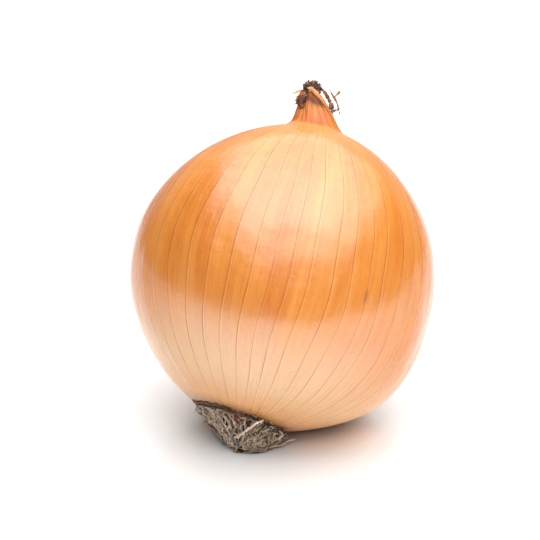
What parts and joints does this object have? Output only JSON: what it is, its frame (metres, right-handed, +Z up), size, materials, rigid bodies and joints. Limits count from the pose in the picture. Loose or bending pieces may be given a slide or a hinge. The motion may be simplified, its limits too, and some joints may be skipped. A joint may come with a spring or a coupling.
{
  "type": "onion",
  "caption": "Whole dry yellow onion with glossy papery skin, a twisted dry neck and a tuft of dried roots, lying on its lower cheek.",
  "frame": {"origin": "middle of the small flat spot that the onion rests on, on the surface below it", "axes": "+Z up from the surface; the bulb's axis leans 31 degrees from upright towards +Y, neck up and root tuft down towards -Y"},
  "size_m": [0.0781, 0.0771, 0.0844],
  "materials": {
    "skin": "glossy dry papery skin, golden orange with lengthwise veins",
    "dark_skin": "withered dark brown skin, matt",
    "pale_skin": "thin straw-coloured skin, satin",
    "dry_root": "dry grey-brown root fibre, matt",
    "pale_root": "pale dry root, matt"
  },
  "bodies": {
    "root": {"bulb": "skin", "root_mat": "dry_root", "root_01": "dry_root", "root_02": "dry_root", "root_03": "dry_root", "root_04": "dry_root", "root_05": "dry_root", "root_06": "dry_root", "root_07": "dry_root", "root_08": "dry_root", "root_09": "dry_root", "root_10": "dry_root", "long_root": "pale_root", "trailing_root": "pale_root", "leaf_stub": "dark_skin", "neck_curl_left": "dark_skin", "neck_wisp_left": "pale_skin", "neck_strip_right": "dark_skin", "neck_fork_right": "dark_skin"}
  },
  "joints": []
}
